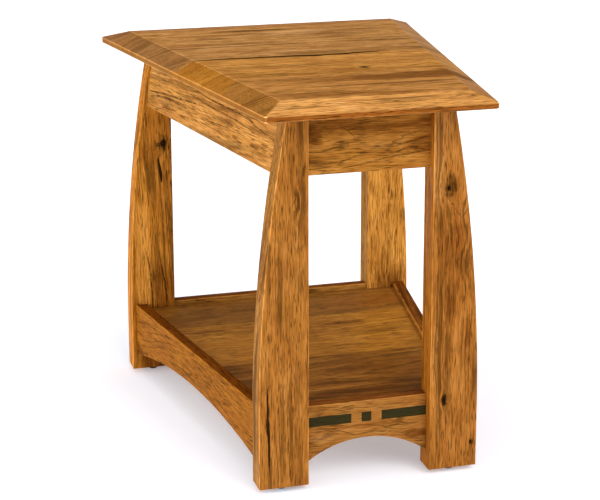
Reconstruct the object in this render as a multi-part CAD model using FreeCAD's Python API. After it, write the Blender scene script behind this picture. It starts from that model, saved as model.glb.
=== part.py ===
import FreeCAD, Part
import math
import os
from FreeCAD import Vector

# Wedge-shaped side table, narrow end in front (-Y), wide end at the back.
# Millimetres, +Z up, origin on the floor under the middle of the top.

# Table top
height = 626.0
depth = 736.0
width_front = 361.0
width_back = 580.0
top_thickness = 24.0
bevel_width = 38.5
bevel_drop = 15.0
corner_radius = 6.0
top_joint_shares = (0.283, 0.519, 0.711, 0.908)

# Legs: a vertical inner edge, an outer edge that stands straight and then leans in on one long arc
leg_overhang_front = 57.0
leg_overhang_back = 55.0
leg_overhang_front_side = 1.5
leg_overhang_back_side = 25.0
leg_thickness = 41.0
leg_foot_width = 80.0
leg_top_width = 33.0
leg_straight_height = 104.0
leg_edge_radius = 1.5

# Aprons under the top
apron_height = 101.0
apron_thickness = 20.0
apron_setback = 17.0
side_apron_inset_top = 3.0
side_apron_inset_bottom = 6.5

# Arched lower rails
rail_top = 131.5
rail_height = 95.0
rail_thickness = 20.0
rail_setback = 17.0
side_rail_inset = 8.0
rail_arch_rise = 33.0
rail_edge_chamfer = 1.0

# Tenons: plain shoulders on the cheeks, a deeper one at the top edge
tenon_thickness = 9.0
apron_end_tenon = 12.0
apron_side_tenon = 22.0
rail_tenon = 25.0
tenon_bottom_shoulder = 10.0
tenon_top_shoulder = 14.0
joint_clearance = 0.2
mortise_extra_depth = 1.0

# Inlays in the front rail
inlay_height = 15.6
inlay_drop = 19.4
inlay_square_width = 16.0
inlay_spacing = 17.0
inlay_depth = 2.5

# Shelf
shelf_lip = 9.0
shelf_thickness = 19.0
shelf_gap = 0.4
shelf_joint_shares = (0.39, 0.763)

# Cleats that carry the shelf
cleat_size = 19.0
cleat_end_gap = 6.0

# Corner blocks and buttons that hold the top
block_thickness = 20.0
block_reach_end = 44.0
block_reach_side = 55.0
button_length = 36.0
button_width = 28.0
button_thickness = 19.0
tongue_height = 7.0
tongue_depth = 8.0
button_places_shares = (0.3, 0.7)

# Wood screws, all of one size
screw_length = 30.0
screw_diameter = 4.0
screw_head_diameter = 8.0
screw_head_height = 3.0
screw_point = 4.0
screw_clearance = 0.1
end_cleat_screw_shares = (0.15, 0.85)
side_cleat_screw_shares = (0.08, 0.5, 0.92)
screw_sides = 12

# Nail-on glides
glide_diameter = 20.0
glide_flat_diameter = 9.0
glide_height = 8.0
glide_rim = 2.0
nail_diameter = 2.4
nail_length = 16.0
glide_sides = 24
dome_steps = 3

# Places worked out from the sizes above
origin = Vector(0, 0, 0)
x_axis = Vector(1, 0, 0)
y_axis = Vector(0, 1, 0)
z_axis = Vector(0, 0, 1)
front_edge = -depth / 2
back_edge = depth / 2
top_underside = height - top_thickness
bevel_foot = height - bevel_drop
front_leg_face = front_edge + leg_overhang_front
front_leg_rear = front_leg_face + leg_thickness
back_leg_rear = back_edge - leg_overhang_back
back_leg_face = back_leg_rear - leg_thickness
leg_gap_front = width_front - 2 * (leg_foot_width + leg_overhang_front_side)
leg_gap_back = width_back - 2 * (leg_foot_width + leg_overhang_back_side)
apron_bottom = top_underside - apron_height
rail_bottom = rail_top - rail_height
rail_crown = rail_bottom + rail_arch_rise
shelf_top = rail_top - shelf_lip
shelf_bottom = shelf_top - shelf_thickness
cleat_bottom = shelf_bottom - cleat_size
side_slope = (leg_gap_back - leg_gap_front) / 2 / (back_leg_face - front_leg_rear)
top_slope = (width_back - width_front) / 2 / depth

# The arc of the legs is tangent to their straight part
curve_height = top_underside - leg_straight_height
curve_inset = leg_foot_width - leg_top_width
curve_radius = (curve_height ** 2 + curve_inset ** 2) / 2 / curve_inset


def leg_width(z):
    """Width of a leg at height z."""
    rise = max(z - leg_straight_height, 0)
    return leg_foot_width - curve_radius + math.sqrt(curve_radius ** 2 - rise ** 2)


def mirrored(shape):
    return shape.mirror(origin, x_axis)


def box(x0, x1, y0, y1, z0, z1):
    return Part.makeBox(x1 - x0, y1 - y0, z1 - z0, Vector(x0, y0, z0))


def outline(points):
    """Closed wire of straight lines through the points."""
    return Part.Wire([Part.makeLine(a, b) for a, b in zip(points, points[1:] + points[:1])])


def ruled(lower, upper):
    """Solid with flat sides between two outlines of equal corners."""
    return Part.makeLoft([outline(lower), outline(upper)], True, True)


def prism(points, z0, z1):
    face = Part.Face(outline([Vector(x, y, z0) for x, y in points]))
    return face.extrude(z_axis * (z1 - z0))


def turned(profile, sides, place, direction):
    """Round piece drawn with flat sides, from (radius, distance along its axis) pairs."""
    turns = [2 * math.pi * number / sides for number in range(sides)]
    rings = []
    for radius, along in profile:
        rings.append([Vector(radius * math.cos(a), radius * math.sin(a), along) for a in turns])
    faces = [Part.Face(outline(rings[0]))]
    if profile[-1][0] > 0:
        faces.append(Part.Face(outline(rings[-1])))
    for (radius, along), lower, upper in zip(profile[1:], rings, rings[1:]):
        for number in range(sides):
            corners = [lower[number - 1], lower[number], upper[number], upper[number - 1]]
            faces.append(Part.Face(outline(corners if radius > 0 else corners[:3])))
    solid = Part.Solid(Part.Shell(faces))
    if solid.Volume < 0:
        solid.reverse()
    solid.Placement = FreeCAD.Placement(place, FreeCAD.Rotation(z_axis, direction))
    return solid


def save(name, *solids):
    shape = solids[0] if len(solids) == 1 else Part.makeCompound(list(solids))
    shape.exportStep("parts/" + name + ".step")


# Side members: a board whose outer face is the plane
# x = start + side_slope * (y - front_leg_rear) + lean * (z - foot)
class SideMember:
    def __init__(self, foot, top, inset_foot, inset_top, thickness):
        self.foot = foot
        self.top = top
        self.start = leg_gap_front / 2 + leg_width(foot) - inset_foot
        end = leg_gap_front / 2 + leg_width(top) - inset_top
        self.lean = (end - self.start) / (top - foot)
        self.thickness = thickness
        self.stretch = math.sqrt(1 + side_slope ** 2 + self.lean ** 2)

    def x(self, y, z, inward):
        """X of the plane that lies a true distance inward of the outer face."""
        face = self.start + side_slope * (y - front_leg_rear) + self.lean * (z - self.foot)
        return face - inward * self.stretch

    def slab(self, outer, inner, y0, y1, z0, z1):
        levels = []
        for z in (z0, z1):
            corners = [(outer, y0), (outer, y1), (inner, y1), (inner, y0)]
            levels.append([Vector(self.x(y, z, inward), y, z) for inward, y in corners])
        return ruled(*levels)

    def tenons(self, length, grow=0.0):
        """The tenon at each end, or, with growth, the mortise that it needs."""
        outer = (self.thickness - tenon_thickness) / 2 - grow
        inner = self.thickness - outer
        z0 = self.foot + tenon_bottom_shoulder - grow
        z1 = self.top - tenon_top_shoulder + grow
        front = self.slab(outer, inner, front_leg_rear - length, front_leg_rear, z0, z1)
        back = self.slab(outer, inner, back_leg_face, back_leg_face + length, z0, z1)
        return front.fuse(back)


side_apron = SideMember(apron_bottom, top_underside, side_apron_inset_bottom,
                        side_apron_inset_top, apron_thickness)
side_rail = SideMember(rail_bottom, rail_top, side_rail_inset, side_rail_inset, rail_thickness)


def end_tenons(gap, y0, y1, foot, top, length, grow=0.0):
    """The tenon at each end of a front or back member, or its mortise."""
    middle = (y0 + y1) / 2
    half_thickness = tenon_thickness / 2 + grow
    z0 = foot + tenon_bottom_shoulder - grow
    z1 = top - tenon_top_shoulder + grow
    tenon = box(gap / 2, gap / 2 + length, middle - half_thickness, middle + half_thickness, z0, z1)
    return tenon.fuse(mirrored(tenon))


# Front and back members stand a setback behind the legs' outer faces
front_apron_y = (front_leg_face + apron_setback, front_leg_face + apron_setback + apron_thickness)
back_apron_y = (back_leg_rear - apron_setback - apron_thickness, back_leg_rear - apron_setback)
front_rail_y = (front_leg_face + rail_setback, front_leg_face + rail_setback + rail_thickness)
back_rail_y = (back_leg_rear - rail_setback - rail_thickness, back_leg_rear - rail_setback)


def screw(place, direction):
    """Countersunk wood screw; place is the middle of its head, direction its way in."""
    profile = [
        (screw_head_diameter / 2, 0),
        (screw_diameter / 2, screw_head_height),
        (screw_diameter / 2, screw_length - screw_point),
        (0, screw_length),
    ]
    return turned(profile, screw_sides, place, direction)


def screw_hole(place, direction):
    """Bore and countersink that clear a screw."""
    bore = screw_diameter / 2 + screw_clearance
    profile = [
        (screw_head_diameter / 2 + screw_clearance, 0),
        (bore, screw_head_height + screw_clearance),
        (bore, screw_length + screw_clearance),
    ]
    return turned(profile, screw_sides, place, direction)


# Places of the screws, filled in beside the pieces that carry them
cleat_screw_places = []
shelf_screw_places = []
top_screw_places = []


def make_leg(gap, y0, apron_y, rail_y):
    """Right leg of a pair."""
    inner = gap / 2
    half_sweep = math.asin(curve_height / curve_radius) / 2
    centre_x = inner + leg_foot_width - curve_radius
    foot_inner = Vector(inner, y0, glide_height)
    foot_outer = Vector(inner + leg_foot_width, y0, glide_height)
    curve_start = Vector(inner + leg_foot_width, y0, leg_straight_height)
    curve_middle = Vector(centre_x + curve_radius * math.cos(half_sweep), y0,
                          leg_straight_height + curve_radius * math.sin(half_sweep))
    curve_end = Vector(inner + leg_top_width, y0, top_underside)
    top_inner = Vector(inner, y0, top_underside)
    edges = [
        Part.makeLine(foot_inner, foot_outer),
        Part.makeLine(foot_outer, curve_start),
        Part.Arc(curve_start, curve_middle, curve_end).toShape(),
        Part.makeLine(curve_end, top_inner),
        Part.makeLine(top_inner, foot_inner),
    ]
    leg = Part.Face(Part.Wire(edges)).extrude(y_axis * leg_thickness)
    long_edges = [e for e in leg.Edges if e.BoundBox.ZLength > leg_edge_radius]
    leg = leg.makeFillet(leg_edge_radius, long_edges)
    rail_depth = rail_tenon + mortise_extra_depth
    spaces = [
        end_tenons(gap, *apron_y, apron_bottom, top_underside,
                   apron_end_tenon + mortise_extra_depth, joint_clearance),
        end_tenons(gap, *rail_y, rail_bottom, rail_top, rail_depth, joint_clearance),
        side_apron.tenons(apron_side_tenon + mortise_extra_depth, joint_clearance),
        side_rail.tenons(rail_depth, joint_clearance),
        nail_hole(gap, y0),
    ]
    for space in spaces:
        leg = leg.cut(space)
    return leg


def glide_place(gap, y0):
    return Vector(gap / 2 + leg_foot_width / 2, y0 + leg_thickness / 2, 0)


def nail_hole(gap, y0):
    radius = nail_diameter / 2 + joint_clearance
    profile = [(radius, 0), (radius, glide_height + nail_length + mortise_extra_depth)]
    return turned(profile, screw_sides, glide_place(gap, y0), z_axis)


def make_glide(gap, y0):
    """Domed foot on a small flat, with its nail, turned in one piece."""
    rim = glide_diameter / 2
    flat = glide_flat_diameter / 2
    dome_rise = glide_height - glide_rim
    dome_run = rim - flat
    dome_radius = (dome_run ** 2 + dome_rise ** 2) / 2 / dome_rise
    sweep = math.asin(dome_run / dome_radius)
    profile = []
    for step in range(dome_steps + 1):
        angle = sweep * step / dome_steps
        profile.append((flat + dome_radius * math.sin(angle), dome_radius * (1 - math.cos(angle))))
    nail = nail_diameter / 2
    profile.extend([
        (rim, glide_height),
        (nail, glide_height),
        (nail, glide_height + nail_length - nail_diameter),
        (0, glide_height + nail_length),
    ])
    return turned(profile, glide_sides, glide_place(gap, y0), z_axis)


def make_legs():
    pairs = {
        "front": (leg_gap_front, front_leg_face, front_apron_y, front_rail_y),
        "back": (leg_gap_back, back_leg_face, back_apron_y, back_rail_y),
    }
    for name, (gap, y0, apron_y, rail_y) in pairs.items():
        leg = make_leg(gap, y0, apron_y, rail_y)
        save("leg_" + name + "_right", leg)
        save("leg_" + name + "_left", mirrored(leg))
        glide = make_glide(gap, y0)
        save("glide_" + name + "_right", glide)
        save("glide_" + name + "_left", mirrored(glide))


def make_top():
    """One bevelled blank with rounded corners, sawn into its edge-glued boards."""
    def corners(inset, z):
        # the slanted sides come in by the same true distance as the ends
        side_inset = inset * math.sqrt(1 + top_slope ** 2)
        front = width_front / 2 + top_slope * inset - side_inset
        back = width_back / 2 - top_slope * inset - side_inset
        y0 = front_edge + inset
        y1 = back_edge - inset
        return [Vector(-front, y0, z), Vector(front, y0, z), Vector(back, y1, z), Vector(-back, y1, z)]

    slab = ruled(corners(0, top_underside), corners(0, bevel_foot))
    crown = ruled(corners(0, bevel_foot), corners(bevel_width, height))
    rounded = ruled(corners(0, top_underside), corners(0, height))
    upright = [e for e in rounded.Edges if e.BoundBox.ZLength > top_thickness / 2]
    rounded = rounded.makeFillet(corner_radius, upright)
    blank = slab.fuse(crown).removeSplitter().common(rounded)
    for hole in top_screw_places:
        blank = blank.cut(screw_hole(*hole))
    cuts = [front_edge] + [front_edge + depth * share for share in top_joint_shares] + [back_edge]
    half = width_back / 2
    for number, (y0, y1) in enumerate(zip(cuts, cuts[1:]), 1):
        board = blank.common(box(-half, half, y0, y1, top_underside, height))
        save("top_board_" + str(number), board)


def arched_board(half_length, middle, along, inward, spare=0.0):
    """Arched board: middle is its place on the floor below its outer face's middle."""
    def at(distance, z):
        return middle + along * distance + z_axis * z

    foot_a = at(-half_length, rail_bottom)
    foot_b = at(half_length, rail_bottom)
    edges = [Part.Arc(foot_a, at(0, rail_crown), foot_b).toShape()]
    corners = [foot_b, at(half_length + spare, rail_bottom), at(half_length + spare, rail_top),
               at(-half_length - spare, rail_top), at(-half_length - spare, rail_bottom), foot_a]
    for start, end in zip(corners, corners[1:]):
        if not start.isEqual(end, 0):
            edges.append(Part.makeLine(start, end))
    board = Part.Face(Part.Wire(edges)).extrude(inward * rail_thickness)
    eased = [e for e in board.Edges if e.Length > half_length]
    return board.makeChamfer(rail_edge_chamfer, eased)


def make_rails():
    end_rails = {
        "front": (leg_gap_front, front_rail_y),
        "back": (leg_gap_back, back_rail_y),
    }
    for name, (gap, (y0, y1)) in end_rails.items():
        rail = arched_board(gap / 2, Vector(0, y0, 0), x_axis, y_axis)
        rail = rail.fuse(end_tenons(gap, y0, y1, rail_bottom, rail_top, rail_tenon))
        if name == "front":
            for inlay in make_inlays(joint_clearance / 2):
                rail = rail.cut(inlay)
        for place in cleat_screw_places:
            rail = rail.cut(screw_hole(*place))
        save("rail_" + name, rail)

    # a side rail is arched square to its own face, then cut off slantwise at the legs
    along = Vector(side_slope, 1, 0).normalize()
    inward = Vector(-along.y, along.x, 0)
    half_length = (back_leg_face - front_leg_rear) / 2 / along.y
    middle_y = (back_leg_face + front_leg_rear) / 2
    middle = Vector(side_rail.x(middle_y, rail_bottom, 0), middle_y, 0)
    rail = arched_board(half_length, middle, along, inward, rail_thickness)
    rail = rail.common(box(0, width_back, front_leg_rear, back_leg_face, 0, height))
    rail = rail.fuse(side_rail.tenons(rail_tenon))
    for place in cleat_screw_places:
        rail = rail.cut(screw_hole(*place))
    save("rail_right", rail)
    save("rail_left", mirrored(rail))


def make_inlays(grow=0.0):
    """Two strips that run in from the legs, and a square between them."""
    y0 = front_rail_y[0]
    z1 = rail_top - inlay_drop
    z0 = z1 - inlay_height
    square = inlay_square_width / 2
    start = square + inlay_spacing
    end = leg_gap_front / 2
    pieces = []
    for x0, x1 in ((-end, -start), (-square, square), (start, end)):
        pieces.append(box(x0 - grow, x1 + grow, y0 - grow, y0 + inlay_depth, z0 - grow, z1 + grow))
    return pieces


def make_aprons():
    slot_bottom = top_underside - button_thickness - joint_clearance
    slot_top = slot_bottom + tongue_height + 2 * joint_clearance
    half_button = button_length / 2 + joint_clearance
    end_aprons = {
        "front": (leg_gap_front, front_apron_y, front_apron_y[1], -1),
        "back": (leg_gap_back, back_apron_y, back_apron_y[0], 1),
    }
    for name, (gap, (y0, y1), inner_face, outward) in end_aprons.items():
        apron = box(-gap / 2, gap / 2, y0, y1, apron_bottom, top_underside)
        apron = apron.fuse(end_tenons(gap, y0, y1, apron_bottom, top_underside, apron_end_tenon))
        slot_end = inner_face + outward * (tongue_depth + mortise_extra_depth)
        low = min(inner_face, slot_end)
        high = max(inner_face, slot_end)
        apron = apron.cut(box(-half_button, half_button, low, high, slot_bottom, slot_top))
        save("apron_" + name, apron)

    apron = side_apron.slab(0, apron_thickness, front_leg_rear, back_leg_face,
                            apron_bottom, top_underside)
    apron = apron.fuse(side_apron.tenons(apron_side_tenon))
    for place in side_button_places():
        inner = apron_thickness - tongue_depth - mortise_extra_depth
        apron = apron.cut(side_apron.slab(inner, apron_thickness, place - half_button,
                                          place + half_button, slot_bottom, slot_top))
    save("apron_right", apron)
    save("apron_left", mirrored(apron))


def side_button_places():
    length = back_leg_face - front_leg_rear
    return [front_leg_rear + length * share for share in button_places_shares]


def make_buttons():
    """Wooden buttons: a block under the top with a tongue in the apron's slot."""
    buttons = []
    bottom = top_underside - button_thickness
    half = button_length / 2
    for face, outward in ((front_apron_y[1], -1), (back_apron_y[0], 1)):
        far = face - outward * button_width
        tip = face + outward * tongue_depth
        block = box(-half, half, min(face, far), max(face, far), bottom, top_underside)
        tongue = box(-half, half, min(face, tip), max(face, tip), bottom, bottom + tongue_height)
        place = Vector(0, (face + far) / 2, bottom)
        top_screw_places.append((place, z_axis))
        buttons.append(block.fuse(tongue).cut(screw_hole(place, z_axis)))
    for y in side_button_places():
        inner = apron_thickness + button_width
        block = side_apron.slab(apron_thickness, inner, y - half, y + half, bottom, top_underside)
        tongue = side_apron.slab(apron_thickness - tongue_depth, apron_thickness,
                                 y - half, y + half, bottom, bottom + tongue_height)
        place = Vector(side_apron.x(y, bottom, apron_thickness + button_width / 2), y, bottom)
        mirror_place = Vector(-place.x, place.y, place.z)
        top_screw_places.extend([(place, z_axis), (mirror_place, z_axis)])
        button = block.fuse(tongue).cut(screw_hole(place, z_axis))
        buttons.extend([button, mirrored(button)])
    save("top_buttons", *buttons)


def make_corner_blocks():
    """Flat blocks glued in the corners of the aprons and notched round the legs."""
    bottom = top_underside - block_thickness
    inside = side_apron.slab(apron_thickness, apron_thickness + width_back, front_apron_y[1],
                             back_apron_y[0], bottom, top_underside)
    corners = {
        "front": (leg_gap_front, front_apron_y[1], front_leg_rear, front_leg_face, 1),
        "back": (leg_gap_back, back_apron_y[0], back_leg_face, back_leg_face, -1),
    }
    for name, (gap, apron_face, leg_face, leg_y0, inward) in corners.items():
        along_end = (gap / 2 - block_reach_end, apron_face)
        side_y = leg_face + inward * block_reach_side
        side_x = side_apron.x(side_y, bottom, 0)
        corner = (side_x, apron_face)
        triangle = prism([along_end, (side_x, side_y), corner], bottom, top_underside)
        leg_space = box(gap / 2 - joint_clearance, gap / 2 + leg_foot_width,
                        leg_y0 - joint_clearance, leg_y0 + leg_thickness + joint_clearance,
                        bottom, top_underside)
        block = triangle.common(inside).cut(leg_space)
        place = Vector(gap / 2, leg_face + inward * block_reach_side / 3, bottom)
        mirror_place = Vector(-place.x, place.y, place.z)
        top_screw_places.extend([(place, z_axis), (mirror_place, z_axis)])
        block = block.cut(screw_hole(place, z_axis))
        save("corner_block_" + name + "_right", block)
        save("corner_block_" + name + "_left", mirrored(block))


def make_cleats():
    """Square battens on the rails' inner faces, with the shelf on top of them."""
    middle_z = (cleat_bottom + shelf_bottom) / 2
    ends = {
        "front": (leg_gap_front, front_rail_y[1], 1),
        "back": (leg_gap_back, back_rail_y[0], -1),
    }
    for name, (gap, face, inward) in ends.items():
        half = gap / 2 - cleat_end_gap
        far = face + inward * cleat_size
        cleat = box(-half, half, min(face, far), max(face, far), cleat_bottom, shelf_bottom)
        for share in end_cleat_screw_shares:
            place = Vector(-half + 2 * half * share, far, middle_z)
            cleat_screw_places.append((place, y_axis * -inward))
            cleat = cleat.cut(screw_hole(place, y_axis * -inward))
        save("shelf_cleat_" + name, cleat)

    y0 = front_leg_rear + cleat_end_gap
    y1 = back_leg_face - cleat_end_gap
    inner = rail_thickness + cleat_size
    cleat = side_rail.slab(rail_thickness, inner, y0, y1, cleat_bottom, shelf_bottom)
    outward = Vector(1, -side_slope, 0).normalize()
    for share in side_cleat_screw_shares:
        y = y0 + (y1 - y0) * share
        place = Vector(side_rail.x(y, middle_z, inner), y, middle_z)
        cleat_screw_places.append((place, outward))
        cleat_screw_places.append((Vector(-place.x, y, middle_z), Vector(-outward.x, outward.y, 0)))
        cleat = cleat.cut(screw_hole(place, outward))
    cuts = shelf_cuts()
    for start, end in zip(cuts, cuts[1:]):
        y = (max(start, y0) + min(end, y1)) / 2
        place = Vector(side_rail.x(y, cleat_bottom, rail_thickness + cleat_size / 2), y, cleat_bottom)
        shelf_screw_places.append((place, z_axis))
        shelf_screw_places.append((Vector(-place.x, y, cleat_bottom), z_axis))
        cleat = cleat.cut(screw_hole(place, z_axis))
    save("shelf_cleat_right", cleat)
    save("shelf_cleat_left", mirrored(cleat))


def shelf_cuts():
    """Y of the shelf's front edge, its joints and its back edge."""
    y0 = front_rail_y[1] + shelf_gap
    y1 = back_rail_y[0] - shelf_gap
    return [y0] + [y0 + (y1 - y0) * share for share in shelf_joint_shares] + [y1]


def make_shelf():
    """Three boards inside the rails, notched round the legs."""
    cuts = shelf_cuts()
    inset = rail_thickness + shelf_gap
    right = [(side_rail.x(y, rail_bottom, inset), y) for y in (cuts[0], cuts[-1])]
    left = [(-x, y) for x, y in reversed(right)]
    shelf = prism(right + left, shelf_bottom, shelf_top)
    for gap, y0 in ((leg_gap_front, front_leg_face), (leg_gap_back, back_leg_face)):
        leg_space = box(gap / 2 - shelf_gap, gap / 2 + leg_foot_width, y0 - shelf_gap,
                        y0 + leg_thickness + shelf_gap, shelf_bottom, shelf_top)
        shelf = shelf.cut(leg_space).cut(mirrored(leg_space))
    for place in shelf_screw_places:
        shelf = shelf.cut(screw_hole(*place))
    half = width_back / 2
    for name, y0, y1 in zip(("front", "middle", "back"), cuts, cuts[1:]):
        board = shelf.common(box(-half, half, y0, y1, shelf_bottom, shelf_top))
        save("shelf_board_" + name, board)


def make_screws():
    groups = {
        "cleat_screws": cleat_screw_places,
        "shelf_screws": shelf_screw_places,
        "top_screws": top_screw_places,
    }
    for name, places in groups.items():
        save(name, *[screw(*place) for place in places])


os.makedirs("parts", exist_ok=True)
make_legs()
make_buttons()
make_corner_blocks()
make_top()
make_aprons()
make_cleats()
make_rails()
make_shelf()
for name, inlay in zip(("left", "center", "right"), make_inlays()):
    save("inlay_" + name, inlay)
make_screws()
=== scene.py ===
import bmesh
import bpy
import math
from mathutils import Matrix, Vector


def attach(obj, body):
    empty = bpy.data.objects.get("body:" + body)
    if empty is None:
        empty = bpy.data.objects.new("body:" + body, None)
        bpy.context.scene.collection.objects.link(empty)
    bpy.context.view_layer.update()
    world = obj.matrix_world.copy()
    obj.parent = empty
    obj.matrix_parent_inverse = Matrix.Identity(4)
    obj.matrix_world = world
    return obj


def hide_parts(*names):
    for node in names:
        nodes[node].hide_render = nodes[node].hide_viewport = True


# Wedge-shaped side table in stained and lacquered hickory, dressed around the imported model.
# Places and sizes in the dictionaries are millimetres in the table's own frame.

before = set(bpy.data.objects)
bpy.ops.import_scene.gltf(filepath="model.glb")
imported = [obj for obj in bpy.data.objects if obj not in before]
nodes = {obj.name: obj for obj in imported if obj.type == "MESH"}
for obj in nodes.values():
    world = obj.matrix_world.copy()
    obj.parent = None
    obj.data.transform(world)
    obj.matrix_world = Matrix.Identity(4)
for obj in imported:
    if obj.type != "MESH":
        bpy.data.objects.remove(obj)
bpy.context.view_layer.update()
mm = 0.001
print("frame loaded:", len(nodes), "pieces")


def toLinear(code):
    channels = [int(code[i:i + 2], 16) / 255 for i in (1, 3, 5)]
    return [c / 12.92 if c <= 0.04045 else ((c + 0.055) / 1.055) ** 2.4 for c in channels] + [1]


def addNode(tree, kind, inputs, out=0, **settings):
    node = tree.nodes.new("ShaderNode" + kind)
    for name, value in settings.items():
        setattr(node, name, value)
    for socket, value in inputs.items():
        if isinstance(value, bpy.types.NodeSocket):
            tree.links.new(value, node.inputs[socket])
        else:
            node.inputs[socket].default_value = value
    return node.outputs[out] if len(node.outputs) else node


def newMaterial(name):
    material = bpy.data.materials.new(name)
    material.use_nodes = True
    material.node_tree.nodes.clear()
    return material, material.node_tree


def dress(piece, material):
    if len(piece.material_slots) == 0:
        piece.data.materials.append(material)
    for slot in piece.material_slots:
        slot.material = material


# all pieces with one of these in their names
def dressAll(parts, material):
    for name in nodes:
        if any(part in name for part in parts):
            dress(nodes[name], material)


# two colours clouded into each other over cloudSize
def clouded(tree, look):
    own = addNode(tree, "TexCoord", {}, out=3)
    cloud = addNode(tree, "TexNoise", {"Vector": own, "Scale": 1 / (look["cloudSize"] * mm),
                                       "Detail": look["detail"]})
    color = addNode(tree, "Mix", {0: cloud, 6: toLinear(look["color"]), 7: toLinear(look["cloud"])},
                    out=2, data_type="RGBA")
    return cloud, color


# Hickory: flat-sawn boards, planed and sanded, wiped with a golden-brown stain and sprayed with
# satin lacquer. The stain sits in the pores and ring lines, so these show dark under a soft gloss.
hickory = {
    "tone": "#a2641f",
    "palerBy": (1.5, 1.75, 2.7),       # the lightest sapwood streaks, as shares of the tone
    "deeperBy": (0.42, 0.34, 0.26),    # the darkest heartwood streaks
    "inked": "#321c06",        # stain caught in pores and ring lines
    "blush": "#7c3a10",        # redder heartwood
    "hollow": "#160d06",       # painted shade inside open cracks, and the dark hearts of knots
    "along": (1, 0, 0),
    "across": (0, 1, 0),
    "pith": (30, -90),         # across and depth from the board's own frame
    "tilt": (0.0, 0.05),       # how the pith climbs through the board, which makes the arches
    "seed": 1,
    "bandWidth": 6.0,          # growth bands that take the stain alike
    "lineSpacing": 9.0,        # growth ring lines
    "poreWidth": 1.5,          # pores are 0.3 mm, drawn this coarse to show in the render
    "poreLength": 20.0,
    "waveSize": 16.0,          # how far the rings wander, over a hand's breadth
    "rippleSize": 4.0,         # and over a finger's breadth
    "bandShare": 0.6,
    "streakShare": 0.45,
    "brushShare": 0.5,
    "fineShare": 1.3,
    "mottleShare": 0.75,
    "blushShare": 0.25,
    "lineStrength": 0.65,
    "poreStrength": 0.75,
    "marks": [],               # knots, swirls, stained and reddened patches
    "lines": [],               # open cracks, and single ring lines filled with stain
    "roughness": 0.55,
    "inkedRoughness": 0.18,    # stained pores and lines are this much rougher,
    "hollowRoughness": 0.4,    # and cracks more
    "gloss": 0.03,             # the lacquer lies thin in the grain, so flat faces shine little
    "polish": 0.12,            # and rubbed arrises shine most
    "polishRoughness": 0.18,
    "glossTint": "#ffdba8",
    "inkedDepth": 0.05,        # how far pores and ring lines sink in,
    "hollowDepth": 0.7,        # and cracks and knots' hearts
}
# seeded patterns: their size along, across and into the board, a shift that sets each apart from the others,
# and the noise's detail and roughness
grainPatterns = {
    "slow": ((300, 90, 90), 5.3, 1.5, 0.5),        # bends the rings
    "quick": ((70, 16, 16), 2.9, 2.0, 0.5),
    "rag": ((13, 4.5, 4.5), 9.1, 3.0, 0.6),        # frays the rims of marks and lines
    "patch": ((130, 30, 30), 7.7, 2.0, 0.5),       # where ring lines and bands come and go
    "streak": ((420, 26, 26), 4.1, 2.0, 0.5),
    "brush": ((80, 6, 6), 5.9, 2.0, 0.5),
    "fine": ((30, 1.8, 1.8), 8.3, 2.0, 0.6),
    "mottle": ((60, 20, 20), 6.1, 3.0, 0.5),
    "red": ((110, 30, 30), 3.7, 2.0, 0.5),
}
porePattern = (1.3, 1.0, 0.5)
seedStep = {"across": 3.17, "inward": 1.7, "rings": 91.0}    # keeps the boards' patterns apart


def addPattern(tree, place, seed, sizes, shift, detail, roughness):
    spot = addNode(tree, "Mapping", {
        "Vector": place, "Scale": [1 / s for s in sizes],
        "Location": (seed * shift, seed * seedStep["across"] + shift, shift * seedStep["inward"])})
    return addNode(tree, "TexNoise", {"Vector": spot, "Scale": 1.0, "Detail": detail, "Roughness": roughness})


# A mark's rim is ragged and soft by these shares of its size, and its swirl reaches out to swirlReach sizes.
# The heart of a knot has a rough rim: it is darkest within inside cores and ends at outside cores.
plainMark = {"ragged": 0.9, "soft": 0.35, "swirlReach": 2.6, "rough": 0.6}
knotHeart = {"inside": 1.1, "outside": 1.6, "strength": 0.95}


def addMarks(tree, marks, place, turn, rag, reach):
    hearts = 0.0
    sums = {"halo": 0.0, "shade": 0.0, "blush": 0.0}
    for mark in marks:
        mark = {**plainMark, **mark}
        size = mark["size"]
        local = addNode(tree, "Mapping", {
            "Vector": place, "Scale": [1 / s for s in size],
            "Location": [-a / s for a, s in zip(turn @ Vector(mark["at"]), size)]})
        away = addNode(tree, "VectorMath", {0: local}, out=1, operation="LENGTH")
        far = addNode(tree, "Math", {0: rag, 1: mark["ragged"], 2: away}, operation="MULTIPLY_ADD")
        far = addNode(tree, "Math", {0: far, 1: 0.5 * mark["ragged"]}, operation="SUBTRACT")
        rim = addNode(tree, "MapRange", {"Value": far, "From Min": 1 - mark["soft"],
                                         "From Max": 1 + mark["soft"], "To Min": 1.0, "To Max": 0.0},
                      interpolation_type="SMOOTHSTEP")
        if "swirl" in mark:
            bend = addNode(tree, "MapRange", {"Value": far, "From Min": 0.0, "From Max": mark["swirlReach"],
                                              "To Min": mark["swirl"], "To Max": 0.0},
                           interpolation_type="SMOOTHERSTEP")
            reach = addNode(tree, "Math", {0: reach, 1: bend}, operation="ADD")
        if "core" in mark:
            core = mark["core"]
            away = addNode(tree, "Math", {0: rag, 1: mark["rough"] * core, 2: away}, operation="MULTIPLY_ADD")
            heart = addNode(tree, "MapRange", {"Value": away, "From Min": knotHeart["inside"] * core,
                                               "From Max": knotHeart["outside"] * core,
                                               "To Min": knotHeart["strength"], "To Max": 0.0})
            hearts = addNode(tree, "Math", {0: heart, 1: hearts}, operation="MAXIMUM")
        for key in sums:
            if key in mark:
                sums[key] = addNode(tree, "Math", {0: rim, 1: mark[key], 2: sums[key]},
                                    operation="MULTIPLY_ADD")
    return reach, hearts, *sums.values()


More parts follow.
